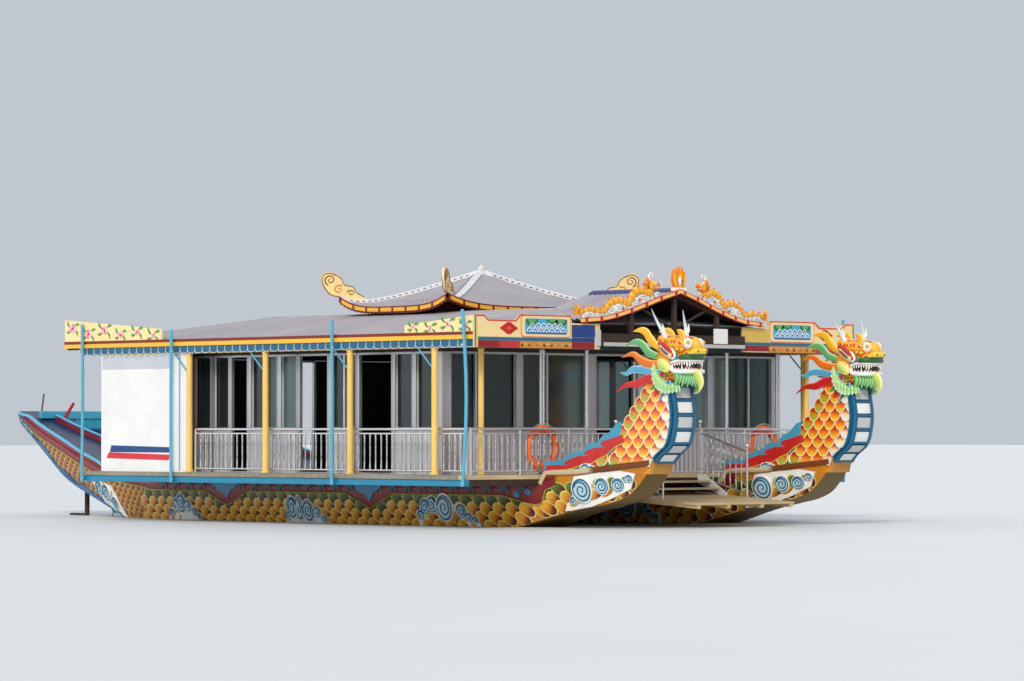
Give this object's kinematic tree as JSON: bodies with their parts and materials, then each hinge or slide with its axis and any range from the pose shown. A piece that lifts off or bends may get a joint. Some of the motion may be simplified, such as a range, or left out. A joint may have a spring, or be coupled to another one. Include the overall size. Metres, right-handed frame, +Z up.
{
  "type": "twin-hull dragon boat",
  "caption": "River passenger boat on two slim dragon-headed hulls, with a wide deck, windowed cabin, galleries and an ornamented roof.",
  "frame": {"origin": "middle of the boat's box, on the flat undersides of the hulls", "axes": "+X forward towards the dragon heads, +Y to port, +Z up"},
  "size_m": [16.9, 8.57, 4.71],
  "materials": {
    "hull_paint": "gloss paint in scales with dark red centres, worn",
    "dragon_paint": "gloss paint, gold with red spots",
    "blue_paint": "gloss paint, worn at the edges",
    "deck_wood": "weathered bare planks",
    "light_wood": "sawn planks, worn",
    "dark_wood": "dark stained, wet at the foot",
    "yellow_paint": "satin paint",
    "white_panel": "ribbed sheet, slightly dirty",
    "stainless": "polished tube",
    "window_glass": "clear",
    "roof_sheet": "corrugated sheet, dusty",
    "trim_red": "gloss paint",
    "trim_orange": "gloss paint",
    "board_cream": "gloss paint",
    "ring_orange": "satin plastic with grey bands",
    "red_lacquer": "lacquer",
    "bronze": "dull bronze"
  },
  "bodies": {
    "boat": {"bench_port": "dark_wood", "bench_starboard": "dark_wood", "boarding_platform": "light_wood", "boarding_stairs": "light_wood", "cabin_glass_port": "window_glass", "cabin_glass_starboard": "window_glass", "cabin_wall_aft": "white_panel", "cabin_wall_front": "white_panel", "cabin_wall_port": "white_panel", "cabin_wall_starboard": "white_panel", "deck": "deck_wood", "deck_frame": "dark_wood", "eave_trim_aft": "trim_red", "eave_trim_port": "trim_red", "eave_trim_starboard": "trim_red", "flame_pearl": "trim_orange", "front_board_port": "board_cream", "front_board_starboard": "board_cream", "front_colonnade": "yellow_paint", "front_glass_port": "window_glass", "front_glass_starboard": "window_glass", "front_railing_port": "stainless", "front_railing_starboard": "stainless", "gable_roof": "roof_sheet", "gable_truss": "dark_wood", "gable_verge": "trim_orange", "head_port": "dragon_paint", "head_starboard": "dragon_paint", "hull_port": "hull_paint", "hull_starboard": "hull_paint", "life_ring_port": "ring_orange", "life_ring_starboard": "ring_orange", "main_roof": "roof_sheet", "neck_port": "hull_paint", "neck_starboard": "hull_paint", "pavilion_roof": "roof_sheet", "roof_dragon_port": "trim_orange", "roof_dragon_starboard": "trim_orange", "scroll_aft_port": "board_cream", "scroll_aft_starboard": "board_cream", "scroll_front_port": "board_cream", "scroll_front_starboard": "board_cream", "shaft_bracket_port": "bronze", "shaft_bracket_starboard": "bronze", "side_beam_port": "blue_paint", "side_beam_starboard": "blue_paint", "side_board_port": "white_panel", "side_board_starboard": "white_panel", "side_colonnade_port": "yellow_paint", "side_colonnade_starboard": "yellow_paint", "side_railing_port": "stainless", "side_railing_starboard": "stainless", "stair_rail_port": "stainless", "stair_rail_starboard": "stainless", "stern_bulwark": "blue_paint", "table": "red_lacquer"},
    "rudder_starboard_body": {"rudder_starboard": "dark_wood"},
    "rudder_port_body": {"rudder_port": "dark_wood"},
    "propeller_starboard_body": {"propeller_starboard": "bronze"},
    "propeller_port_body": {"propeller_port": "bronze"}
  },
  "joints": [
    {"name": "rudder_turn_starboard", "type": "hinge", "parent": "boat", "child": "rudder_starboard_body", "pos_m": [-6.75, -2, 0.47], "axis": [0, 0, 1], "range_deg": [-35, 35]},
    {"name": "propeller_spin_starboard", "type": "hinge", "parent": "boat", "child": "propeller_starboard_body", "pos_m": [-6.01, -2, 0.32], "axis": [1, 0, 0], "continuous": true},
    {"name": "rudder_turn_port", "type": "hinge", "parent": "boat", "child": "rudder_port_body", "pos_m": [-6.75, 2, 0.47], "axis": [0, 0, 1], "range_deg": [-35, 35]},
    {"name": "propeller_spin_port", "type": "hinge", "parent": "boat", "child": "propeller_port_body", "pos_m": [-6.01, 2, 0.32], "axis": [1, 0, 0], "continuous": true}
  ],
  "couplings": [
    {"joint": "rudder_turn_port", "follows": "rudder_turn_starboard", "ratio": 1}
  ]
}
